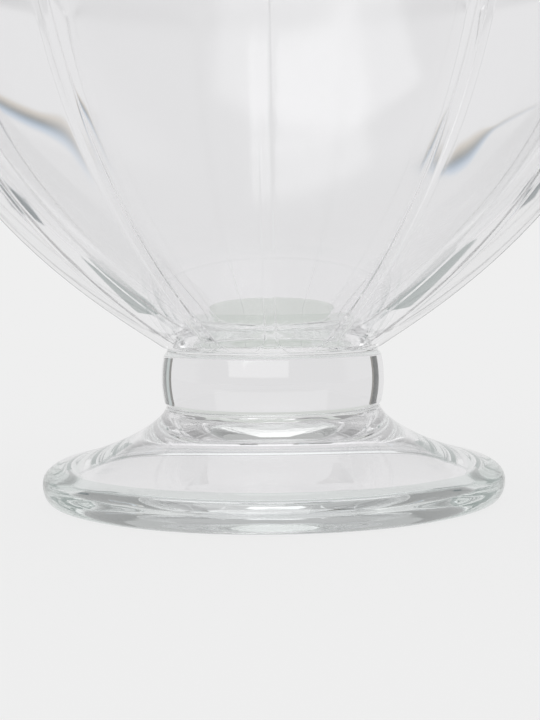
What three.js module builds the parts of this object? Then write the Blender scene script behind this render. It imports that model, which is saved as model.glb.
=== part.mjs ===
// Stemmed dessert bowl in clear pressed glass: a ribbed, panelled bowl on a barrel-shaped stem and a hollow foot.
// Millimetres, +Z up, standing on z = 0 with its axis on x = y = 0. The front rib faces -Y.
import * as THREE from 'three';

// Foot
const FOOT_DIAMETER = 76;
const FOOT_HEIGHT = 14.4;
const FOOT_EDGE_THICKNESS = 5.8;
const FOOT_EDGE_ROUND = 3;
const FOOT_WIDEST_HEIGHT = 2.8;
const FOOT_SHOULDER_SLOPE = 13;
const FOOT_NECK_SLOPE = 66;

// Flat ring that the foot rests on, and the hollow inside it
const REST_INSET = 1.5;
const REST_WIDTH = 3;
const HOLLOW_ROOF_THICKNESS = 2.8;
const HOLLOW_ROOF_DIAMETER = 22;
const HOLLOW_SLOPE = 30;
const HOLLOW_EAVE_HEIGHT = 2.1;
const HOLLOW_EAVE_WIDTH = 1.3;

// Joins between foot, stem and bowl: thin wafers of glass, set back to leave a crease
const JOIN_DIAMETER = 35.6;
const WAFER_THICKNESS = 0.5;
const LOWER_CREASE_DEPTH = 0.12;
const UPPER_CREASE_DEPTH = 0.35;
const WAFER_EDGE_ROUND = 0.2;

// Stem
const STEM_HEIGHT = 8.9;
const STEM_BULGE = 0.57;

// Bowl
const BOWL_HEIGHT = 72.7;
const BOWL_DIAMETER = 128;
const BOWL_BASE_SLOPE = 46;
const BOWL_RIM_SLOPE = 89;
const FLOOR_THICKNESS = 3.4;
const BASIN_DIAMETER = 28;
const WALL_LOW = 5;
const WALL_RIM = 3.2;

// Ribs left standing between the sunk panels on the outside of the bowl
const RIB_COUNT = 13;
const RIB_WIDTH = 1.35;
const RIB_HEIGHT = 0.15;
const RIB_EDGE_WIDTH = 0.3;
const RIB_FLARE_HEIGHT = 3;
const RIB_FLARE_SHARE = 0.88;
const PANEL_FLATNESS = 0.4;
const PANEL_RUN_OUT = 5;
const PLAIN_LIP_HEIGHT = 7;

// How far along their chords the curves keep their end slopes
const EASE = 0.55;
const HOLLOW_ROOF_EASE = 0.18;
const HOLLOW_EAVE_EASE = 0.5;
const FLARE_SHOULDER_EASE = 0.48;
const FLARE_NECK_EASE = 0.36;
const BOWL_BASE_EASE = 0.06;
const BOWL_RIM_EASE = 0.645;
const BASIN_FLOOR_EASE = 0.42;
const BASIN_WALL_EASE = 0.3;

// Fineness
const ROUND_SEGMENTS = 60;
const HALF_PANEL_STEPS = 3;
const SECTOR_STEPS = 2 * (2 + HALF_PANEL_STEPS);
const OUTER_ROWS = 18;
const RIM_ROWS = 6;
const INNER_ROWS = 7;
const BASIN_ROWS = 5;
const WALL_SEARCH_STEPS = 200;

const SECTOR = (2 * Math.PI) / RIB_COUNT;
const degrees = THREE.MathUtils.degToRad;
const clamp = THREE.MathUtils.clamp;
const smooth = THREE.MathUtils.smoothstep;
const mix = THREE.MathUtils.lerp;
const at = (r, z) => new THREE.Vector2(r, z);
const heading = (slope) => at(Math.cos(degrees(slope)), Math.sin(degrees(slope)));

// A curve that leaves one point and meets another at set slopes, each kept up for a set pull.
function sweep(from, fromSlope, fromPull, to, toSlope, toPull) {
  const leave = from.clone().addScaledVector(heading(fromSlope), fromPull);
  const meet = to.clone().addScaledVector(heading(toSlope), -toPull);
  return new THREE.CubicBezierCurve(from, leave, meet, to);
}

// A solid turned about the z axis from a profile that runs from the axis, out, up and back to the axis.
function turned(profile, segments) {
  const geometry = new THREE.LatheGeometry(profile, segments);
  geometry.rotateX(Math.PI / 2);
  geometry.deleteAttribute('uv');
  geometry.deleteAttribute('normal');
  return geometry;
}

function glass(name, geometry, tint) {
  geometry.computeVertexNormals();
  const material = new THREE.MeshStandardMaterial({ color: tint, roughness: 0.05, metalness: 0 });
  material.name = `${name}_glass`;
  const mesh = new THREE.Mesh(geometry, material);
  mesh.name = name;
  return mesh;
}

// Foot: a flared disc with a rounded edge, hollow underneath, resting on a narrow flat ring.
function footProfile() {
  const edge = FOOT_DIAMETER / 2;
  const restOuter = at(edge - REST_INSET, 0);
  const restInner = at(edge - REST_INSET - REST_WIDTH, 0);
  const roof = at(HOLLOW_ROOF_DIAMETER / 2, FOOT_HEIGHT - HOLLOW_ROOF_THICKNESS);
  const eave = at(restInner.x - HOLLOW_EAVE_WIDTH, HOLLOW_EAVE_HEIGHT);
  const widest = at(edge, FOOT_WIDEST_HEIGHT);
  const shoulder = at(edge - FOOT_EDGE_ROUND, FOOT_EDGE_THICKNESS);
  const neck = at(JOIN_DIAMETER / 2, FOOT_HEIGHT);
  const reach = eave.x - roof.x;
  const spread = shoulder.x - neck.x;
  const rise = neck.y - shoulder.y;
  const topSlope = 180 - FOOT_SHOULDER_SLOPE;
  const neckSlope = 180 - FOOT_NECK_SLOPE;
  const ceiling = sweep(roof, 0, reach * HOLLOW_ROOF_EASE, eave, -HOLLOW_SLOPE, reach * HOLLOW_EAVE_EASE);
  const lip = sweep(eave, -HOLLOW_SLOPE, HOLLOW_EAVE_WIDTH * EASE, restInner, -90, eave.y * EASE);
  const under = sweep(restOuter, 0, REST_INSET * EASE, widest, 90, widest.y * EASE);
  const over = sweep(widest, 90, (shoulder.y - widest.y) * EASE, shoulder, topSlope, FOOT_EDGE_ROUND * EASE);
  const flare = sweep(shoulder, topSlope, spread * FLARE_SHOULDER_EASE, neck, neckSlope, rise * FLARE_NECK_EASE);
  return [
    at(0, roof.y),
    ...ceiling.getPoints(5),
    ...lip.getPoints(3).slice(1),
    ...under.getPoints(4),
    ...over.getPoints(5).slice(1),
    ...flare.getPoints(8).slice(1),
    at(0, neck.y),
  ];
}

// Wafer: a thin disc with a rounded edge, set a little inside the pieces above and below it.
function waferProfile(z, creaseDepth) {
  const radius = JOIN_DIAMETER / 2 - creaseDepth;
  return [
    at(0, z),
    at(radius - WAFER_EDGE_ROUND, z),
    at(radius, z + WAFER_THICKNESS / 2),
    at(radius - WAFER_EDGE_ROUND, z + WAFER_THICKNESS),
    at(0, z + WAFER_THICKNESS),
  ];
}

// Stem: a short barrel, fullest half way up.
function stemProfile(z) {
  const steps = 8;
  const points = [at(0, z)];
  for (let step = 0; step <= steps; step += 1) {
    const along = step / steps;
    const swell = 4 * along * (1 - along);
    points.push(at(JOIN_DIAMETER / 2 + STEM_BULGE * swell, z + STEM_HEIGHT * along));
  }
  points.push(at(0, z + STEM_HEIGHT));
  return points;
}

// Bowl wall: the outer curve, the inner face set off from it by a wall that thins towards the rim, and the rim's centre.
function bowlWall(z) {
  const rimCentre = at(BOWL_DIAMETER / 2 - WALL_RIM / 2, z + BOWL_HEIGHT - WALL_RIM / 2);
  const base = at(JOIN_DIAMETER / 2, z);
  const rim = rimCentre.clone().addScaledVector(heading(BOWL_RIM_SLOPE - 90), WALL_RIM / 2);
  const basePull = BOWL_HEIGHT * BOWL_BASE_EASE;
  const rimPull = BOWL_HEIGHT * BOWL_RIM_EASE;
  const outer = sweep(base, BOWL_BASE_SLOPE, basePull, rim, BOWL_RIM_SLOPE, rimPull);
  const inner = (share) => {
    const along = outer.getTangent(share);
    const wall = mix(WALL_LOW, WALL_RIM, share);
    return outer.getPoint(share).addScaledVector(at(-along.y, along.x), wall);
  };
  return { outer, inner, rimCentre };
}

// Basin: the floor of the bowl, from the foot of its inner wall to its middle.
function basinPoints(z, { outer, inner }) {
  const reach = BASIN_DIAMETER / 2;
  let start = 0;
  while (start < 1 && inner(start).x < reach) start += 1 / WALL_SEARCH_STEPS;
  const along = outer.getTangent(start);
  const slope = THREE.MathUtils.radToDeg(Math.atan2(along.y, along.x));
  const floor = at(0, z + FLOOR_THICKNESS);
  const curve = sweep(floor, 0, reach * BASIN_FLOOR_EASE, inner(start), slope, reach * BASIN_WALL_EASE);
  return { start, points: curve.getPoints(BASIN_ROWS).reverse() };
}

// Bowl: rows of points from the middle of its base, up the outside, over the rim and down the inside to the floor.
// Each row says how far its panels are sunk and how far its ribs have flared.
function bowlRows(z) {
  const wall = bowlWall(z);
  const plain = (point) => ({ point, sunk: 0, flare: 0 });
  const panelTop = z + BOWL_HEIGHT - PLAIN_LIP_HEIGHT;
  const rows = [plain(at(0, z))];
  wall.outer.getPoints(OUTER_ROWS).forEach((point) => {
    const below = clamp((z + RIB_FLARE_HEIGHT - point.y) / RIB_FLARE_HEIGHT, 0, 1);
    const sunk = 1 - smooth(point.y, panelTop - PANEL_RUN_OUT, panelTop);
    rows.push({ point, sunk, flare: 1 - Math.sqrt(1 - below * below) });
  });
  for (let step = 1; step < RIM_ROWS; step += 1) {
    const turn = BOWL_RIM_SLOPE - 90 + (180 * step) / RIM_ROWS;
    rows.push(plain(wall.rimCentre.clone().addScaledVector(heading(turn), WALL_RIM / 2)));
  }
  const basin = basinPoints(z, wall);
  for (let step = 0; step < INNER_ROWS; step += 1) {
    rows.push(plain(wall.inner(mix(1, basin.start, step / INNER_ROWS))));
  }
  basin.points.forEach((point) => rows.push(plain(point)));
  return rows;
}

// One step around the bowl: its angle, counted from the front rib, and how far out the surface lies there.
// Every sector holds half a rib, a rib's edge, a panel, an edge and half a rib.
function ribStep(step, { point, sunk, flare }) {
  const place = step % SECTOR_STEPS;
  const side = Math.min(place, SECTOR_STEPS - place);
  const even = (side / SECTOR_STEPS) * SECTOR;
  const edge = RIB_EDGE_WIDTH / point.x;
  const halfRib = mix(RIB_WIDTH / 2 / point.x, RIB_FLARE_SHARE * (SECTOR / 2 - edge), flare);
  const halfPanel = SECTOR / 2 - halfRib - edge;
  let ribbed = side * halfRib;
  let depth = 0;
  if (side > 1) {
    const across = 1 - (side - 2) / HALF_PANEL_STEPS;
    ribbed = SECTOR / 2 - halfPanel * across;
    const chord = Math.cos(halfPanel) / Math.cos(halfPanel * across);
    depth = RIB_HEIGHT + PANEL_FLATNESS * point.x * (1 - chord);
  }
  const local = mix(even, ribbed, sunk);
  const angle = Math.floor(step / SECTOR_STEPS) * SECTOR + (place > side ? SECTOR - local : local);
  return { angle, radius: point.x - depth * sunk * (1 - flare) };
}

// The bowl is turned round first; then its outside is sunk between the ribs.
function bowlGeometry(z) {
  const rows = bowlRows(z);
  const segments = RIB_COUNT * SECTOR_STEPS;
  const geometry = turned(rows.map((row) => row.point), segments);
  const position = geometry.getAttribute('position');
  for (let step = 0; step <= segments; step += 1) {
    rows.forEach((row, index) => {
      if (row.point.x === 0) return;
      const { angle, radius } = ribStep(step % segments, row);
      const vertex = step * rows.length + index;
      position.setXYZ(vertex, radius * Math.sin(angle), -radius * Math.cos(angle), row.point.y);
    });
  }
  return geometry;
}

const lowerWaferBottom = FOOT_HEIGHT;
const stemBottom = lowerWaferBottom + WAFER_THICKNESS;
const upperWaferBottom = stemBottom + STEM_HEIGHT;
const bowlBottom = upperWaferBottom + WAFER_THICKNESS;

const lowerWafer = waferProfile(lowerWaferBottom, LOWER_CREASE_DEPTH);
const upperWafer = waferProfile(upperWaferBottom, UPPER_CREASE_DEPTH);

const dessertBowl = new THREE.Group();
dessertBowl.name = 'stemmed_dessert_bowl';
dessertBowl.add(glass('bowl', bowlGeometry(bowlBottom), 0xdde6e6));
dessertBowl.add(glass('upper_wafer', turned(upperWafer, ROUND_SEGMENTS), 0xd2dedd));
dessertBowl.add(glass('stem_knop', turned(stemProfile(stemBottom), ROUND_SEGMENTS), 0xd8e3e2));
dessertBowl.add(glass('lower_wafer', turned(lowerWafer, ROUND_SEGMENTS), 0xd0dcdb));
dessertBowl.add(glass('foot', turned(footProfile(), ROUND_SEGMENTS), 0xcfdcd8));

export default dessertBowl;
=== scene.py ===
"""Stemmed dessert bowl in clear pressed glass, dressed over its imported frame."""

import math

import bmesh
import bpy
from mathutils import Matrix, Vector, noise


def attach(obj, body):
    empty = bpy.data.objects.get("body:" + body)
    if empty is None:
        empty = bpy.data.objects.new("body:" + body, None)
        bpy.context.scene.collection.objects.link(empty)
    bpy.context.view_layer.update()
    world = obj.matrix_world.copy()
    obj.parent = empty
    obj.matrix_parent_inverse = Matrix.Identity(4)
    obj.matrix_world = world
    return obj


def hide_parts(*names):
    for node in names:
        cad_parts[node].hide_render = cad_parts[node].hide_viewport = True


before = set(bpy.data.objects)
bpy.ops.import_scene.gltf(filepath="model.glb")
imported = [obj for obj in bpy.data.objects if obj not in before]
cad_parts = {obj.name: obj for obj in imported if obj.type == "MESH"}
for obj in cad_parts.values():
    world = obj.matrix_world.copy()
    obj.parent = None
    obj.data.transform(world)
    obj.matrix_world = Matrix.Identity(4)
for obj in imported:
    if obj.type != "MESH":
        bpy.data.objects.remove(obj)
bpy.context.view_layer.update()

MM = 0.001

# Sizes in millimetres and slopes in degrees, as in the solids.
# The bowl is a hair slimmer, to stay in their box.
FOOT_RADIUS = 38.0
FOOT_HEIGHT = 14.4
FOOT_EDGE_THICKNESS = 5.8
FOOT_EDGE_ROUND = 3.0
FOOT_WIDEST_HEIGHT = 2.8
FOOT_SHOULDER_SLOPE = 13.0
FOOT_NECK_SLOPE = 66.0
REST_INSET = 1.5
REST_WIDTH = 3.0
HOLLOW_ROOF_THICKNESS = 2.8
HOLLOW_ROOF_RADIUS = 11.0
HOLLOW_SLOPE = 30.0
HOLLOW_EAVE_HEIGHT = 2.1
HOLLOW_EAVE_WIDTH = 1.3
JOIN_RADIUS = 17.8
WAFER_THICKNESS = 0.5
LOWER_CREASE_DEPTH = 0.12
UPPER_CREASE_DEPTH = 0.35
WAFER_EDGE_ROUND = 0.2
STEM_HEIGHT = 8.9
STEM_BULGE = 0.57
BOWL_HEIGHT = 72.7
BOWL_RADIUS = 63.98
BOWL_BASE_SLOPE = 46.0
BOWL_RIM_SLOPE = 89.0
FLOOR_THICKNESS = 3.4
BASIN_RADIUS = 14.0
WALL_LOW = 5.0
WALL_RIM = 3.2
RIB_COUNT = 13
RIB_WIDTH = 1.35
RIB_HEIGHT = 0.15
RIB_EDGE_WIDTH = 0.3
RIB_FLARE_HEIGHT = 3.0
RIB_FLARE_SHARE = 0.88
PANEL_RUN_OUT = 5.0
PLAIN_LIP_HEIGHT = 7.0

# How strongly each curve is pulled along its slopes, as a share of its reach
EASE = 0.55
HOLLOW_ROOF_EASE = 0.18
HOLLOW_EAVE_EASE = 0.5
SHOULDER_EASE = 0.48
NECK_EASE = 0.36
BASIN_FLOOR_EASE = 0.42
BASIN_WALL_EASE = 0.3
BOWL_BASE_EASE = 0.06
BOWL_RIM_EASE = 0.645

# Detail of the visible surface, whose panels are rounder than those of the solids
PANEL_FLATNESS = 0.06
CORNER_ROUND = 0.3
CORNER_RUN = 0.7
WRINKLE_DEPTH = 0.22
WRINKLE_PITCH = 0.28
WRINKLE_INNER = 4.0
WRINKLE_OUTER = 10.0
WRINKLE_RUN_OUT = 3.0
WRINKLE_LAST_ROW = 22
RIM_GLASS_INSET = 0.3
BASE_GLASS_RADIUS = 15.5

LOWER_WAFER_Z = FOOT_HEIGHT
STEM_Z = LOWER_WAFER_Z + WAFER_THICKNESS
UPPER_WAFER_Z = STEM_Z + STEM_HEIGHT
BOWL_Z = UPPER_WAFER_Z + WAFER_THICKNESS
CONTACT_RADIUS = JOIN_RADIUS - UPPER_CREASE_DEPTH - WAFER_EDGE_ROUND

# How finely the curves are drawn
ROUND_COLUMNS = 240
ROOF_STEPS = 8
HOLLOW_STEPS = 24
EAVE_STEPS = 10
UNDER_EDGE_STEPS = 14
OVER_EDGE_STEPS = 16
FLARE_STEPS = 32
WAFER_STEPS = 8
STEM_STEPS = 40
WALL_STEPS = 110
INNER_STRIDE = 2
LIP_STEPS = 16
BASIN_STEPS = 48
RIB_STEPS = 2
RIB_EDGE_STEPS = 4
HALF_PANEL_STEPS = 10
SECTOR_STEPS = 2 * (RIB_STEPS + RIB_EDGE_STEPS + HALF_PANEL_STEPS)
BOWL_COLUMNS = RIB_COUNT * SECTOR_STEPS
SECTOR = 2 * math.pi / RIB_COUNT
SHARP_ANGLE = math.radians(38)

# Material slots: every piece has the first two, the foot a tinted rim, the bowl its inside and base
GLASS, FUSED = 0, 1
RIM = 2
INSIDE, BASE = 2, 3

# Glass: noise scales per metre, and the limits of the bloom in millimetres
GLASS_IOR = 1.51
VEIN_SCALE = 70.0
VEIN_DETAIL = 2.0
VEIN_ROUGHNESS = 0.45
VEIN_DULL_FROM = 0.55
VEIN_DULL_TO = 0.85
VEIN_DULLEST = 0.02
RIPPLE_DETAIL = 1.0
RIPPLE_ROUGHNESS = 0.4
BLOOM_CLEAR_X = 27.0
BLOOM_FULL_X = 19.0
BLOOM_LEAST = 0.04
BLOOM_LOW_Z = 35.0
BLOOM_HIGH_Z = 44.0

# Paper floor, in millimetres and in levels where 1 is white
PAPER = 0.863
# Levels seen through the glass are painted shade, dimmer than the paper seen plainly.
PAPER_SHADE_THROUGH_GLASS = 0.79
PAPER_SHADE_UNDER_FOOT = 0.84
PAPER_NEAR = 55.0
PAPER_FAR = 100.0
PAPER_MATT = 0.95
PAPER_GLOW_SHARE = 0.93
PAPER_SIDE = 300.0
PAPER_FRONT = 300.0
PAPER_BACK = 600.0
PAPER_DROP = 0.1

# Their glow is painted shade in what the glass shows behind it, and the streaks add painted colour fringes.
# Cards, in millimetres, are seen only through the glass and stand where the camera's sight lines leave it.
# Streak cards: how their shade goes from the lower to the upper edge, and their courses
STREAK_PALE = (0.81, 0.81, 0.81)
STREAK_SHADES = (
    (0.24, (0.52, 0.605, 0.705)),
    (0.42, (0.275, 0.34, 0.41)),
    (0.56, (0.28, 0.28, 0.27)),
    (0.80, (0.625, 0.575, 0.505)),
)
STREAK_BACK = 70.0
STREAK_STEPS = 30
LEFT_OUTER = (-70.0, 67.6)
LEFT_OUTER_SLOPE = -14.7
LEFT_OUTER_PULL = 28.0
LEFT_INNER = (-41.0, 52.0)
LEFT_INNER_SLOPE = -58.5
LEFT_INNER_PULL = 17.3
LEFT_THIN = 3.2
LEFT_THICK = 5.4
LEFT_WIDENS = (-55.0, -44.0)
LEFT_FADE = 13.0
RIGHT_OUTER = (64.4, 64.4)
RIGHT_OUTER_SLOPE = 187.2
RIGHT_OUTER_PULL = 24.5
RIGHT_INNER = (32.5, 53.0)
RIGHT_INNER_SLOPE = 186.4
RIGHT_INNER_PULL = 22.0
RIGHT_THIN = 0.8
RIGHT_THICK = 4.8
RIGHT_WIDENS = (52.0, 45.0)
RIGHT_NARROWS = (34.0, 43.0)
RIGHT_FADE = 3.5
RIGHT_FAINTEST = 0.25
RIGHT_GAIN_LENGTH = 21.5

# Cards across the view: near and far side, lower edge, and the top at each side
CARD_BACK = 22.0
# Painted shade: grey screens on the lower sides of the bowl, dark outline strips along its edges.
SCREEN_SHADE = (0.32, 0.36, 0.35)
OUTLINE_SHADE = (0.12, 0.15, 0.16)
UPRIGHT_CARDS = (
    ("screen_left", (-31.5, -55.0), 0.5, (15.0, 11.5), SCREEN_SHADE),
    ("screen_right", (31.5, 57.0), 0.5, (16.0, 15.5), SCREEN_SHADE),
    ("outline_left", (-63.5, -75.0), 19.0, (31.5, 31.5), OUTLINE_SHADE),
    ("outline_right", (61.5, 70.0), 27.0, (34.5, 34.5), OUTLINE_SHADE),
)

# Half oval behind the base, whose glow paints shade on the bottom of the bowl
OVAL_SHADE = (0.655, 0.682, 0.65)
OVAL_STEPS = 32
OVAL_SIDE = -0.5
OVAL_HALF_WIDTH = 15.0
OVAL_BACK = 30.0
OVAL_LOW = 22.4
OVAL_RISE = 5.6

# Cards round the stem: the turns from straight behind where each starts and ends, in degrees
# Their near-black and grey glow paints shade along the stem's edges.
STEM_CARD_RADIUS = 24.0
STEM_CARD_LOW = 15.0
STEM_CARD_HIGH = 21.6
STEM_CARDS = (
    ("card_right_inner", 8.5, 11.2, (0.12, 0.115, 0.1)),
    ("card_right_middle", 11.2, 15.7, (0.4, 0.46, 0.45)),
    ("card_right_outer", 15.7, 27.3, (0.012, 0.02, 0.018)),
    ("card_left_inner", -9.6, -7.9, (0.2, 0.19, 0.17)),
    ("card_left_outer", -16.4, -9.6, (0.01, 0.015, 0.012)),
)

# Surround seen through the glass: areas as low and high limits and a soft edge, in degrees
THROUGH_LEVEL = 0.78
BACKLIGHT_BEARING = (-19.0, 19.0, 1.5)
BACKLIGHT_TALL = (1.0, 9.0, 1.0)
BACKLIGHT_GAIN = 0.04
CEILING_TALL = (20.0, 90.0, 11.0)
CEILING_GAIN = -0.26
WINGS_BEARING = (14.0, 60.0, 6.0)
WINGS_TALL = (14.0, 45.0, 5.0)
WINGS_GAIN = -0.18
LAMP_BEARING = (-8.0, 8.0, 1.0)
LAMP_TALL = (14.0, 57.0, 1.0)
LAMP_GAIN = 0.65

# Surround mirrored in the glass: areas as low and high limits and a soft edge, in parts of a direction
MIRRORED_LEVEL = 0.3
MIRRORED_BACK_NORTH = (0.0, 1.0, 0.3)
MIRRORED_BACK_GAIN = 0.5
SOFT_BOX_UP = (0.1, 1.0, 0.05)
CORE_BOX_EAST = (-0.47, 0.06, 0.02)
CORE_BOX_NORTH = (-0.83, -0.36, 0.04)
CORE_BOX_GAIN = 1.7
WIDE_BOX_EAST = (-0.68, 0.27, 0.03)
WIDE_BOX_SLANT = (-2.0, -0.515, 0.03)
WIDE_BOX_TILT = 0.34
WIDE_BOX_GAIN = 1.9
LOW_BOX_EAST = (-0.42, 0.06, 0.02)
LOW_BOX_NORTH = (-0.36, -0.1, 0.04)
LOW_BOX_GAIN = 1.8
PLAIN_LIGHT = 0.9

# Camera, in millimetres and radians, for the photograph's frame of 540 by 720 pixels
FRAME_HEIGHT = 720
FOCAL_PIXELS = 1373.0
SENSOR_WIDTH = 36.0
CAMERA_DISTANCE = 227.0
CAMERA_HEIGHT = 36.7
CAMERA_TURN = math.radians(0.7)
CAMERA_YAW = 2.5 / FOCAL_PIXELS
CAMERA_PITCH = 0.0637
CAMERA_ROLL = -0.0112
CLIP_START = 10.0
CLIP_END = 100000.0
GLASS_BOUNCES = 64
CLEAR_BOUNCES = 24


# Curves and meshes

def heading(slope):
    return math.cos(math.radians(slope)), math.sin(math.radians(slope))


def sweep(start, start_slope, start_pull, end, end_slope, end_pull, steps):
    """Points of a curve that leaves start and meets end at set slopes."""
    sx, sz = heading(start_slope)
    ex, ez = heading(end_slope)
    points = [start, (start[0] + sx * start_pull, start[1] + sz * start_pull),
              (end[0] - ex * end_pull, end[1] - ez * end_pull), end]
    curve = []
    for step in range(steps + 1):
        t = step / steps
        weights = ((1 - t) ** 3, 3 * (1 - t) ** 2 * t, 3 * (1 - t) * t * t, t ** 3)
        curve.append(tuple(sum(w * p[axis] for w, p in zip(weights, points)) for axis in (0, 1)))
    return curve


def smoothstep(value, low, high):
    t = min(max((value - low) / (high - low), 0.0), 1.0)
    return t * t * (3 - 2 * t)


def corner_pull(distance):
    """How far a surface draws in at a distance from a sharp corner, which leaves it slightly round."""
    return CORNER_ROUND * (1 - smoothstep(distance, 0.0, CORNER_RUN)) ** 2


def build(name, rows, columns, place, materials):
    """A closed turned mesh. rows start with (radius, height, band material); place gives each vertex."""
    mesh = bmesh.new()
    rings = []
    for index, row in enumerate(rows):
        count = columns if row[0] else 1
        rings.append([mesh.verts.new(Vector(place(index, column)) * MM) for column in range(count)])
    for index in range(len(rows) - 1):
        low, high = rings[index], rings[index + 1]
        for c in range(columns):
            n = (c + 1) % columns
            if len(low) == 1:
                corners = [low[0], high[n], high[c]]
            elif len(high) == 1:
                corners = [low[c], low[n], high[0]]
            else:
                corners = [low[c], low[n], high[n], high[c]]
            face = mesh.faces.new(corners)
            face.material_index = rows[index][2]
            face.smooth = True
    bmesh.ops.recalc_face_normals(mesh, faces=mesh.faces)
    for edge in mesh.edges:
        if len(edge.link_faces) == 2 and edge.calc_face_angle() > SHARP_ANGLE:
            edge.smooth = False
    data = bpy.data.meshes.new(name)
    mesh.to_mesh(data)
    mesh.free()
    piece = bpy.data.objects.new(name, data)
    bpy.context.scene.collection.objects.link(piece)
    for material in materials:
        data.materials.append(material)
    return piece


def turned(name, rows, materials, ripple=None):
    """A round piece, with a ripple that lifts its points if one is given."""
    def place(index, column):
        radius, height, _ = rows[index]
        turn = 2 * math.pi * column / ROUND_COLUMNS
        lift = ripple(index, radius, turn) if ripple else 0.0
        return radius * math.sin(turn), -radius * math.cos(turn), height + lift
    return build(name, rows, ROUND_COLUMNS, place, materials)


# Shader nodes

def node(tree, kind, **values):
    """A new node, with its settings and the numbers on its sockets."""
    made = tree.nodes.new(kind)
    for key, value in values.items():
        if hasattr(made, key):
            setattr(made, key, value)
        else:
            made.inputs[key.replace("_", " ")].default_value = value
    return made


def feed(tree, socket, value):
    """Link another node's output to a socket, or set the socket to a plain value."""
    if isinstance(value, bpy.types.NodeSocket):
        tree.links.new(value, socket)
    else:
        socket.default_value = value


def maths(tree, operation, *values):
    made = node(tree, "ShaderNodeMath", operation=operation)
    for socket, value in zip(made.inputs, values):
        feed(tree, socket, value)
    return made.outputs[0]


def mix(tree, kind, factor, first, second):
    made = node(tree, "ShaderNodeMix", data_type=kind)
    for key, value in (("Factor", factor), ("A", first), ("B", second)):
        feed(tree, made.inputs[key], value)
    return made.outputs["Result"]


def mix_shader(tree, factor, first, second):
    made = node(tree, "ShaderNodeMixShader")
    for socket, value in zip(made.inputs, (factor, first, second)):
        feed(tree, socket, value)
    return made.outputs[0]


def ramp(tree, value, start, end, low=0.0, high=1.0, kind="SMOOTHSTEP"):
    """Goes from low to high as a value goes from start to end."""
    made = node(tree, "ShaderNodeMapRange", interpolation_type=kind,
                From_Min=start, From_Max=end, To_Min=low, To_Max=high)
    feed(tree, made.inputs["Value"], value)
    return made.outputs["Result"]


def between(tree, value, limits):
    """1 where a value lies between two limits, falling to 0 over a soft edge."""
    low, high, soft = limits
    rise = ramp(tree, value, low - soft, low)
    fall = ramp(tree, value, high + soft, high)
    return maths(tree, "MULTIPLY", rise, fall)


def speckle(tree, where, scale, detail, roughness):
    made = node(tree, "ShaderNodeTexNoise", Scale=scale, Detail=detail, Roughness=roughness)
    feed(tree, made.inputs["Vector"], where)
    return made.outputs["Fac"]


def split(tree, where):
    """The three parts of a place or a direction."""
    made = node(tree, "ShaderNodeSeparateXYZ")
    feed(tree, made.inputs[0], where)
    return made.outputs["X"], made.outputs["Y"], made.outputs["Z"]


def bare_material(name):
    """A material with no shader yet, its nodes, and the socket that takes the shader."""
    material = bpy.data.materials.new(name)
    material.use_nodes = True
    tree = material.node_tree
    tree.nodes.remove(tree.nodes["Principled BSDF"])
    return material, tree, tree.nodes["Material Output"].inputs["Surface"]


# Materials of the bowl

def with_bloom(tree, where, bloom, rough):
    """Adds the haze that the plunger leaves on the faces of the wall that lie front and back."""
    x, _, z = split(tree, where)
    haze = ramp(tree, maths(tree, "ABSOLUTE", x), BLOOM_CLEAR_X * MM, BLOOM_FULL_X * MM, BLOOM_LEAST, bloom)
    height = ramp(tree, z, BLOOM_LOW_Z * MM, BLOOM_HIGH_Z * MM)
    return maths(tree, "MULTIPLY_ADD", haze, height, rough)


def clear_glass(name, tint, deep_tint, ripple_scale, ripple_depth, bloom=0.0):
    """Pressed soda-lime glass: clear, faintly tinted, with the slow ripple that a mould leaves."""
    material = bpy.data.materials.new(name)
    material.use_nodes = True
    tree = material.node_tree
    shader = tree.nodes["Principled BSDF"]
    shader.inputs["Transmission Weight"].default_value = 1.0
    shader.inputs["IOR"].default_value = GLASS_IOR
    shader.inputs["Metallic"].default_value = 0.0
    where = node(tree, "ShaderNodeTexCoord").outputs["Object"]
    veins = speckle(tree, where, VEIN_SCALE, VEIN_DETAIL, VEIN_ROUGHNESS)
    colour = mix(tree, "RGBA", veins, (*tint, 1.0), (*deep_tint, 1.0))
    feed(tree, shader.inputs["Base Color"], colour)
    rough = ramp(tree, veins, VEIN_DULL_FROM, VEIN_DULL_TO, 0.0, VEIN_DULLEST, "LINEAR")
    if bloom:
        rough = with_bloom(tree, where, bloom, rough)
    feed(tree, shader.inputs["Roughness"], rough)
    ripple = speckle(tree, where, ripple_scale, RIPPLE_DETAIL, RIPPLE_ROUGHNESS)
    bump = node(tree, "ShaderNodeBump", Strength=1.0, Distance=ripple_depth * MM)
    feed(tree, bump.inputs["Height"], ripple)
    feed(tree, shader.inputs["Normal"], bump.outputs["Normal"])
    return material


def fused_join():
    """Where two gathers of hot glass have run together there is no surface left to see."""
    material, tree, surface = bare_material("fused_join")
    feed(tree, surface, node(tree, "ShaderNodeBsdfTransparent").outputs[0])
    return material


bowl_glass = clear_glass("bowl_glass", tint=(0.99, 0.987, 0.995), deep_tint=(0.98, 0.98, 0.985),
                         ripple_scale=45.0, ripple_depth=0.012)
inside_glass = clear_glass("inside_glass", tint=(0.99, 0.987, 0.995), deep_tint=(0.98, 0.98, 0.985),
                           ripple_scale=45.0, ripple_depth=0.012, bloom=0.14)
stem_glass = clear_glass("stem_glass", tint=(0.955, 0.95, 0.96), deep_tint=(0.943, 0.94, 0.95),
                         ripple_scale=60.0, ripple_depth=0.01)
wafer_glass = clear_glass("wafer_glass", tint=(0.98, 0.988, 0.986), deep_tint=(0.965, 0.98, 0.976),
                          ripple_scale=90.0, ripple_depth=0.02)
foot_glass = clear_glass("foot_glass", tint=(0.968, 0.962, 0.973), deep_tint=(0.955, 0.95, 0.962),
                         ripple_scale=60.0, ripple_depth=0.02)
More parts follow.
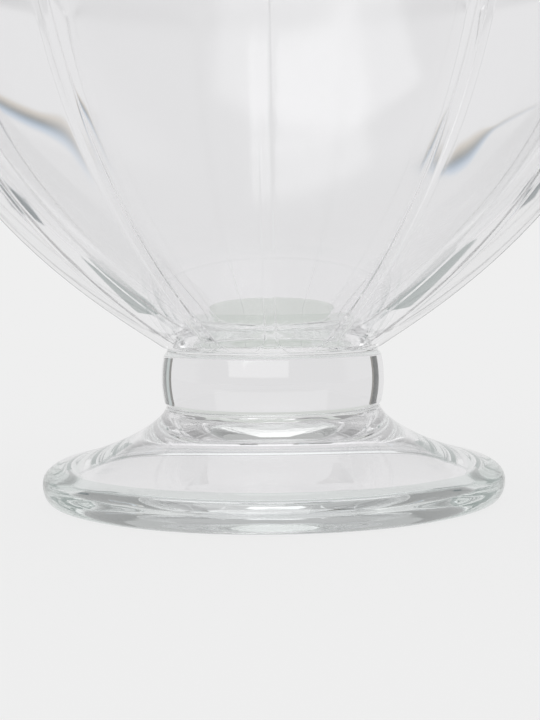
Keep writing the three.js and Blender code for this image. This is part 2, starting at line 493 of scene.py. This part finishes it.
# Rim tint: partly the green of thick glass, partly painted shade for the dark surroundings seen through it.
rim_glass_tint_and_shade = clear_glass("rim_glass_tint_and_shade", tint=(0.83, 0.87, 0.855), deep_tint=(0.71, 0.77, 0.75),
                        ripple_scale=160.0, ripple_depth=0.07)
# Base tint: partly the green of thick glass, partly painted shade for the darker surround seen through it.
base_glass_tint_and_shade = clear_glass("base_glass_tint_and_shade", tint=(0.86, 0.89, 0.865), deep_tint=(0.8, 0.84, 0.81),
                         ripple_scale=90.0, ripple_depth=0.03)
joined = fused_join()


# Foot

def foot_rows():
    roof_height = FOOT_HEIGHT - HOLLOW_ROOF_THICKNESS
    rest_outer = (FOOT_RADIUS - REST_INSET, 0.0)
    rest_inner = (rest_outer[0] - REST_WIDTH, 0.0)
    eave = (rest_inner[0] - HOLLOW_EAVE_WIDTH, HOLLOW_EAVE_HEIGHT)
    roof = (HOLLOW_ROOF_RADIUS, roof_height)
    widest = (FOOT_RADIUS, FOOT_WIDEST_HEIGHT)
    shoulder = (FOOT_RADIUS - FOOT_EDGE_ROUND, FOOT_EDGE_THICKNESS)
    neck = (JOIN_RADIUS, FOOT_HEIGHT)
    reach = eave[0] - roof[0]
    spread = shoulder[0] - neck[0]
    over_slope = 180 - FOOT_SHOULDER_SLOPE
    points = [(0.0, roof_height)]
    points += [(HOLLOW_ROOF_RADIUS * step / ROOF_STEPS, roof_height) for step in range(1, ROOF_STEPS)]
    points += sweep(roof, 0, reach * HOLLOW_ROOF_EASE,
                    eave, -HOLLOW_SLOPE, reach * HOLLOW_EAVE_EASE, HOLLOW_STEPS)
    points += sweep(eave, -HOLLOW_SLOPE, HOLLOW_EAVE_WIDTH * EASE,
                    rest_inner, -90, eave[1] * EASE, EAVE_STEPS)[1:]
    points += [((rest_inner[0] + rest_outer[0]) / 2, 0.0)]
    points += sweep(rest_outer, 0, REST_INSET * EASE,
                    widest, 90, widest[1] * EASE, UNDER_EDGE_STEPS)
    points += sweep(widest, 90, (shoulder[1] - widest[1]) * EASE,
                    shoulder, over_slope, FOOT_EDGE_ROUND * EASE, OVER_EDGE_STEPS)[1:]
    points += sweep(shoulder, over_slope, spread * SHOULDER_EASE,
                    neck, 180 - FOOT_NECK_SLOPE, (neck[1] - shoulder[1]) * NECK_EASE, FLARE_STEPS)[1:]
    rows = [(r, z, RIM if r > shoulder[0] + RIM_GLASS_INSET else GLASS) for r, z in points]
    rows.append((CONTACT_RADIUS, FOOT_HEIGHT, FUSED))
    rows.append((0.0, FOOT_HEIGHT, FUSED))
    return rows


def hollow_wrinkle(index, radius, turn):
    """Chill wrinkles that the plunger leaves in the roof of the hollow."""
    if index == 0 or index > WRINKLE_LAST_ROW:
        return 0.0
    spot = Vector((radius * math.sin(turn), radius * math.cos(turn), 0.0))
    inside = smoothstep(radius, WRINKLE_INNER, WRINKLE_OUTER)
    edge = 1 - smoothstep(radius, HOLLOW_ROOF_RADIUS, HOLLOW_ROOF_RADIUS + WRINKLE_RUN_OUT)
    return WRINKLE_DEPTH * inside * edge * noise.noise(spot * WRINKLE_PITCH)


foot = turned("pressed_foot", foot_rows(), [foot_glass, joined, rim_glass_tint_and_shade], hollow_wrinkle)


# Wafers and stem

def wafer_rows(z, crease):
    bulge = JOIN_RADIUS - crease - CONTACT_RADIUS
    rows = [(0.0, z, FUSED), (CONTACT_RADIUS, z, GLASS)]
    for step in range(1, WAFER_STEPS):
        turn = math.pi * step / WAFER_STEPS
        height = z + WAFER_THICKNESS * (1 - math.cos(turn)) / 2
        rows.append((CONTACT_RADIUS + bulge * math.sin(turn), height, GLASS))
    rows.append((CONTACT_RADIUS, z + WAFER_THICKNESS, FUSED))
    rows.append((0.0, z + WAFER_THICKNESS, FUSED))
    return rows


def stem_rows():
    rows = [(0.0, STEM_Z, FUSED), (CONTACT_RADIUS, STEM_Z, GLASS)]
    for step in range(STEM_STEPS + 1):
        along = step / STEM_STEPS
        height = STEM_HEIGHT * along
        pull = corner_pull(min(height, STEM_HEIGHT - height))
        radius = JOIN_RADIUS + STEM_BULGE * 4 * along * (1 - along) - pull
        rows.append((radius, STEM_Z + height, GLASS))
    rows.append((CONTACT_RADIUS, STEM_Z + STEM_HEIGHT, FUSED))
    rows.append((0.0, STEM_Z + STEM_HEIGHT, FUSED))
    return rows


lower_rows = wafer_rows(LOWER_WAFER_Z, LOWER_CREASE_DEPTH)
lower_wafer = turned("lower_join_wafer", lower_rows, [wafer_glass, joined])
stem = turned("barrel_stem", stem_rows(), [stem_glass, joined])
upper_rows = wafer_rows(UPPER_WAFER_Z, UPPER_CREASE_DEPTH)
upper_wafer = turned("upper_join_wafer", upper_rows, [wafer_glass, joined])


# Bowl

def wall_curves():
    """The outer curve of the wall, the inner one with its slopes, and the middle of the rounded lip."""
    lip = (BOWL_RADIUS - WALL_RIM / 2, BOWL_Z + BOWL_HEIGHT - WALL_RIM / 2)
    nx, nz = heading(BOWL_RIM_SLOPE - 90)
    rim = (lip[0] + nx * WALL_RIM / 2, lip[1] + nz * WALL_RIM / 2)
    outer = sweep((JOIN_RADIUS, BOWL_Z), BOWL_BASE_SLOPE, BOWL_HEIGHT * BOWL_BASE_EASE,
                  rim, BOWL_RIM_SLOPE, BOWL_HEIGHT * BOWL_RIM_EASE, WALL_STEPS)
    inner = []
    for index, (r, z) in enumerate(outer):
        before, after = outer[max(index - 1, 0)], outer[min(index + 1, WALL_STEPS)]
        ax, az = after[0] - before[0], after[1] - before[1]
        length = math.hypot(ax, az)
        wall = WALL_LOW + (WALL_RIM - WALL_LOW) * index / WALL_STEPS
        inner.append((r - az / length * wall, z + ax / length * wall, math.degrees(math.atan2(az, ax))))
    return outer, inner, lip


def bowl_rows():
    """Rows of (radius, height, band material, how far the panels are cut)."""
    outer, inner, lip = wall_curves()
    rows = [(0.0, BOWL_Z, FUSED, 0.0), (CONTACT_RADIUS, BOWL_Z, GLASS, 0.0)]
    panel_top = BOWL_Z + BOWL_HEIGHT - PLAIN_LIP_HEIGHT
    for r, z in outer:
        cut = 1 - smoothstep(z, panel_top - PANEL_RUN_OUT, panel_top)
        rows.append((r - corner_pull(z - BOWL_Z), z, GLASS, cut))
    for step in range(1, LIP_STEPS):
        cx, cz = heading(BOWL_RIM_SLOPE - 90 + 180 * step / LIP_STEPS)
        rows.append((lip[0] + cx * WALL_RIM / 2, lip[1] + cz * WALL_RIM / 2, GLASS, 0.0))
    meet = next(index for index, point in enumerate(inner) if point[0] >= BASIN_RADIUS)
    for r, z, _ in reversed(inner[meet + 1::INNER_STRIDE]):
        rows.append((r, z, BASE if r < BASE_GLASS_RADIUS else INSIDE, 0.0))
    wall_r, wall_z, wall_slope = inner[meet]
    basin = sweep((0.0, BOWL_Z + FLOOR_THICKNESS), 0, BASIN_RADIUS * BASIN_FLOOR_EASE,
                  (wall_r, wall_z), wall_slope, BASIN_RADIUS * BASIN_WALL_EASE, BASIN_STEPS)
    for r, z in reversed(basin):
        rows.append((r, z, BASE, 0.0))
    return rows


def bowl_place(index, column):
    """Panels sunk into the round wall leave narrow ribs, which flare where the panels round off."""
    radius, height, _, cut = bowl_profile[index]
    if radius == 0:
        return 0.0, 0.0, height
    spot = column % SECTOR_STEPS
    side = min(spot, SECTOR_STEPS - spot)
    below = min(max((BOWL_Z + RIB_FLARE_HEIGHT - height) / RIB_FLARE_HEIGHT, 0.0), 1.0)
    flare = 1 - math.sqrt(1 - below * below)
    narrow = RIB_WIDTH / 2 / max(radius, 1.0)
    edge = RIB_EDGE_WIDTH / max(radius, 1.0)
    half_rib = narrow + (RIB_FLARE_SHARE * (SECTOR / 2 - edge) - narrow) * flare
    half_panel = SECTOR / 2 - half_rib - edge
    even = side / SECTOR_STEPS * SECTOR
    sunk = 0.0
    if side <= RIB_STEPS:
        ribbed = half_rib * side / RIB_STEPS
    elif side <= RIB_STEPS + RIB_EDGE_STEPS:
        share = (side - RIB_STEPS) / RIB_EDGE_STEPS
        ribbed = half_rib + edge * share
        sunk = RIB_HEIGHT * smoothstep(share, 0.0, 1.0)
    else:
        ribbed = SECTOR / 2 - half_panel * (1 - (side - RIB_STEPS - RIB_EDGE_STEPS) / HALF_PANEL_STEPS)
        chord = math.cos(half_panel) / math.cos(SECTOR / 2 - ribbed)
        sunk = RIB_HEIGHT + PANEL_FLATNESS * radius * (1 - chord)
    out = radius - cut * (1 - flare) * sunk
    local = even + (ribbed - even) * cut
    if spot > side:
        local = SECTOR - local
    turn = column // SECTOR_STEPS * SECTOR + local
    return out * math.sin(turn), -out * math.cos(turn), height


bowl_profile = bowl_rows()
bowl = build("panelled_bowl", bowl_profile, BOWL_COLUMNS, bowl_place,
             [bowl_glass, joined, inside_glass, base_glass_tint_and_shade])

for piece, name in ((bowl, "bowl"), (upper_wafer, "upper_wafer"), (stem, "stem_knop"),
                    (lower_wafer, "lower_wafer"), (foot, "foot")):
    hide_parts(name)
    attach(piece, "root")


# Floor and cards

def stage_mesh(name, corners, faces, material):
    """A flat thing of the studio, from corners in millimetres."""
    data = bpy.data.meshes.new(name)
    data.from_pydata([tuple(part * MM for part in corner) for corner in corners], [], faces)
    data.materials.append(material)
    made = bpy.data.objects.new(name, data)
    bpy.context.scene.collection.objects.link(made)
    return made


def floor_paper():
    """Matt paper that mostly glows, at one level seen plainly and at dimmer levels of painted shade through
    the glass.
    """
    material, tree, surface = bare_material("floor_paper")
    matt = node(tree, "ShaderNodeBsdfDiffuse", Color=(PAPER_MATT, PAPER_MATT, PAPER_MATT, 1.0))
    reach = node(tree, "ShaderNodeVectorMath", operation="LENGTH")
    feed(tree, reach.inputs[0], node(tree, "ShaderNodeTexCoord").outputs["Object"])
    # Dimmer glow for all but camera rays, dimmest far off: painted shade for the floor behind the object.
    through = ramp(tree, reach.outputs["Value"], PAPER_NEAR * MM, PAPER_FAR * MM,
                   PAPER_SHADE_UNDER_FOOT, PAPER_SHADE_THROUGH_GLASS)
    seen = node(tree, "ShaderNodeLightPath")
    glow = node(tree, "ShaderNodeEmission")
    feed(tree, glow.inputs["Strength"], mix(tree, "FLOAT", seen.outputs["Is Camera Ray"], through, PAPER))
    feed(tree, surface, mix_shader(tree, PAPER_GLOW_SHARE, matt.outputs[0], glow.outputs[0]))
    return material


def lay_floor():
    corners = [
        (-PAPER_SIDE, -PAPER_FRONT, 0.0),
        (PAPER_SIDE, -PAPER_FRONT, 0.0),
        (PAPER_SIDE, PAPER_BACK, 0.0),
        (-PAPER_SIDE, PAPER_BACK, 0.0),
    ]
    floor = stage_mesh("floor", corners, [(0, 1, 2, 3)], floor_paper())
    floor.location.z = -PAPER_DROP * MM


def card(name, corners, faces, shade):
    """A card that stands behind the glass and is seen only through it.
    Gives its mesh, its nodes and the socket of its colour."""
    material, tree, surface = bare_material(name)
    # The glow is painted shade: the card shows its colour only to rays that come through the glass.
    glow = node(tree, "ShaderNodeEmission", Color=(*shade, 1.0), Strength=1.0)
    clear = node(tree, "ShaderNodeBsdfTransparent")
    through = node(tree, "ShaderNodeLightPath").outputs["Is Transmission Ray"]
    feed(tree, surface, mix_shader(tree, through, clear.outputs[0], glow.outputs[0]))
    made = stage_mesh(name, corners, faces, material)
    return made.data, tree, glow.inputs["Color"]


def fringed(tree, socket):
    """Painted shade with a painted warm upper and cool lower colour fringe, as strong as the card's first
    coordinate says.
    """
    strength, across, _ = split(tree, node(tree, "ShaderNodeTexCoord").outputs["UV"])
    shades = node(tree, "ShaderNodeValToRGB")
    for place, shade in STREAK_SHADES:
        shades.color_ramp.elements.new(place).color = (*shade, 1.0)
    for end in (0, -1):
        shades.color_ramp.elements[end].color = (*STREAK_PALE, 1.0)
    feed(tree, shades.inputs[0], across)
    feed(tree, socket, mix(tree, "RGBA", strength, (*STREAK_PALE, 1.0), shades.outputs["Color"]))


def streak(name, course, half, strength):
    """A long bent card whose glow paints the dark streak, a painted shade, at one side of the bowl."""
    corners = []
    faces = []
    for number, (side, middle) in enumerate(course):
        corners.append((side, STREAK_BACK, middle - half(side)))
        corners.append((side, STREAK_BACK, middle + half(side)))
        if number:
            faces.append((2 * number - 2, 2 * number - 1, 2 * number + 1, 2 * number))
    data, tree, colour = card(name, corners, faces, STREAK_PALE)
    fringed(tree, colour)
    layer = data.uv_layers.new(name="across")
    for loop in data.loops:
        number, top = divmod(loop.vertex_index, 2)
        layer.data[loop.index].uv = (strength(course[number][0]), top)


def left_half(side):
    """Half the height of the left streak, which widens inwards."""
    return LEFT_THIN + (LEFT_THICK - LEFT_THIN) * smoothstep(side, *LEFT_WIDENS)


def left_strength(side):
    """The left streak fades out at its inner end."""
    return math.sqrt(min((LEFT_INNER[0] - side) / LEFT_FADE, 1.0))


def right_half(side):
    """Half the height of the right streak, which is thickest in the middle."""
    swell = smoothstep(side, *RIGHT_WIDENS) * smoothstep(side, *RIGHT_NARROWS)
    return RIGHT_THIN + (RIGHT_THICK - RIGHT_THIN) * swell


def right_strength(side):
    """The right streak gains strength inwards and then fades out at its end."""
    gain = min((RIGHT_OUTER[0] - side) / RIGHT_GAIN_LENGTH, 1.0)
    fade = math.sqrt(min((side - RIGHT_INNER[0]) / RIGHT_FADE, 1.0))
    return (RIGHT_FAINTEST + (1 - RIGHT_FAINTEST) * gain) * fade


def stand_streaks():
    left = sweep(LEFT_OUTER, LEFT_OUTER_SLOPE, LEFT_OUTER_PULL,
                 LEFT_INNER, LEFT_INNER_SLOPE, LEFT_INNER_PULL, STREAK_STEPS)
    streak("painted_streak_left", left, left_half, left_strength)
    right = sweep(RIGHT_OUTER, RIGHT_OUTER_SLOPE, RIGHT_OUTER_PULL,
                  RIGHT_INNER, RIGHT_INNER_SLOPE, RIGHT_INNER_PULL, STREAK_STEPS)
    streak("painted_streak_right", right, right_half, right_strength)


def stand_uprights():
    """Grey screens that paint shade on the lower sides of the bowl, and dark strips that paint shade along
    its outline.
    """
    for name, (near, far), low, (near_top, far_top), shade in UPRIGHT_CARDS:
        corners = [
            (near, CARD_BACK, low),
            (far, CARD_BACK, low),
            (far, CARD_BACK, far_top),
            (near, CARD_BACK, near_top),
        ]
        card(name, corners, [(0, 1, 2, 3)], shade)


def stand_oval():
    """A pale half oval behind the base, which paints shade on the bottom of the bowl."""
    corners = []
    for number in range(OVAL_STEPS + 1):
        angle = math.pi * number / OVAL_STEPS
        side = OVAL_SIDE + OVAL_HALF_WIDTH * math.cos(angle)
        corners.append((side, OVAL_BACK, OVAL_LOW + OVAL_RISE * math.sin(angle)))
    card("oval_card", corners, [tuple(range(OVAL_STEPS + 1))], OVAL_SHADE)


def stand_stem_cards():
    """Narrow dark cards whose glow paints shade along the edges of the stem."""
    for name, low_turn, high_turn, shade in STEM_CARDS:
        corners = []
        for turn in (low_turn, high_turn):
            y, x = heading(turn)
            for height in (STEM_CARD_LOW, STEM_CARD_HIGH):
                corners.append((STEM_CARD_RADIUS * x, STEM_CARD_RADIUS * y, height))
        card(name, corners, [(0, 1, 3, 2)], shade)


lay_floor()
stand_streaks()
stand_uprights()
stand_oval()
stand_stem_cards()


# Light

def patch(tree, first, first_limits, second, second_limits):
    """1 where two values both lie between their limits."""
    return maths(tree, "MULTIPLY", between(tree, first, first_limits), between(tree, second, second_limits))


def with_gains(tree, level, *areas):
    """A level with the gain of each area added to it."""
    for area, gain in areas:
        level = maths(tree, "MULTIPLY_ADD", area, gain, level)
    return level


def light_through(tree, east, north, up):
    """What the glass shows behind it: a soft white room with one lamp, darker above and beside the lamp."""
    bearing = maths(tree, "MULTIPLY", maths(tree, "ARCTAN2", east, north), math.degrees(1))
    tall = maths(tree, "MULTIPLY", maths(tree, "ARCSINE", up), math.degrees(1))
    aside = maths(tree, "ABSOLUTE", bearing)
    backlight = patch(tree, bearing, BACKLIGHT_BEARING, tall, BACKLIGHT_TALL)
    ceiling = between(tree, tall, CEILING_TALL)
    wings = patch(tree, aside, WINGS_BEARING, tall, WINGS_TALL)
    lamp = patch(tree, bearing, LAMP_BEARING, tall, LAMP_TALL)
    return with_gains(tree, THROUGH_LEVEL, (backlight, BACKLIGHT_GAIN), (ceiling, CEILING_GAIN),
                      (wings, WINGS_GAIN), (lamp, LAMP_GAIN))


def light_mirrored(tree, east, north, up):
    """What the glass mirrors: soft boxes above and in front, and a paler room at the back."""
    slant = maths(tree, "MULTIPLY_ADD", east, WIDE_BOX_TILT, north)
    core = patch(tree, east, CORE_BOX_EAST, north, CORE_BOX_NORTH)
    wide = patch(tree, east, WIDE_BOX_EAST, slant, WIDE_BOX_SLANT)
    low = patch(tree, east, LOW_BOX_EAST, north, LOW_BOX_NORTH)
    boxes = with_gains(tree, 0.0, (core, CORE_BOX_GAIN), (wide, WIDE_BOX_GAIN), (low, LOW_BOX_GAIN))
    back = between(tree, north, MIRRORED_BACK_NORTH)
    room = with_gains(tree, MIRRORED_LEVEL, (back, MIRRORED_BACK_GAIN))
    return maths(tree, "MULTIPLY_ADD", boxes, between(tree, up, SOFT_BOX_UP), room)


def light_world():
    """A soft white surround, with what shows through glass and what it mirrors set apart."""
    world = bpy.data.worlds.new("studio")
    bpy.context.scene.world = world
    world.use_nodes = True
    tree = world.node_tree
    sky = tree.nodes["Background"]
    sky.inputs["Color"].default_value = (1.0, 1.0, 1.0, 1.0)
    east, north, up = split(tree, node(tree, "ShaderNodeTexCoord").outputs["Generated"])
    path = node(tree, "ShaderNodeLightPath")
    mirrored = light_mirrored(tree, east, north, up)
    through = light_through(tree, east, north, up)
    level = mix(tree, "FLOAT", path.outputs["Is Glossy Ray"], PLAIN_LIGHT, mirrored)
    level = mix(tree, "FLOAT", path.outputs["Is Transmission Ray"], level, through)
    level = mix(tree, "FLOAT", path.outputs["Is Camera Ray"], level, PAPER)
    feed(tree, sky.inputs["Strength"], level)


light_world()


# Camera

def place_camera():
    lens = bpy.data.cameras.new("camera")
    lens.sensor_width = SENSOR_WIDTH
    lens.lens = SENSOR_WIDTH * FOCAL_PIXELS / FRAME_HEIGHT
    lens.clip_start = CLIP_START * MM
    lens.clip_end = CLIP_END * MM
    camera = bpy.data.objects.new("camera", lens)
    bpy.context.scene.collection.objects.link(camera)
    x = CAMERA_DISTANCE * math.sin(CAMERA_TURN)
    y = -CAMERA_DISTANCE * math.cos(CAMERA_TURN)
    place = Matrix.Translation((x * MM, y * MM, CAMERA_HEIGHT * MM))
    turn = Matrix.Rotation(CAMERA_TURN + CAMERA_YAW, 4, "Z")
    pitch = Matrix.Rotation(math.pi / 2 - CAMERA_PITCH, 4, "X")
    roll = Matrix.Rotation(CAMERA_ROLL, 4, "Z")
    camera.matrix_world = place @ turn @ pitch @ roll
    bpy.context.scene.camera = camera


place_camera()

scene = bpy.context.scene
scene.view_settings.view_transform = "Standard"
scene.cycles.max_bounces = GLASS_BOUNCES
scene.cycles.transmission_bounces = GLASS_BOUNCES
scene.cycles.glossy_bounces = GLASS_BOUNCES
scene.cycles.transparent_max_bounces = CLEAR_BOUNCES
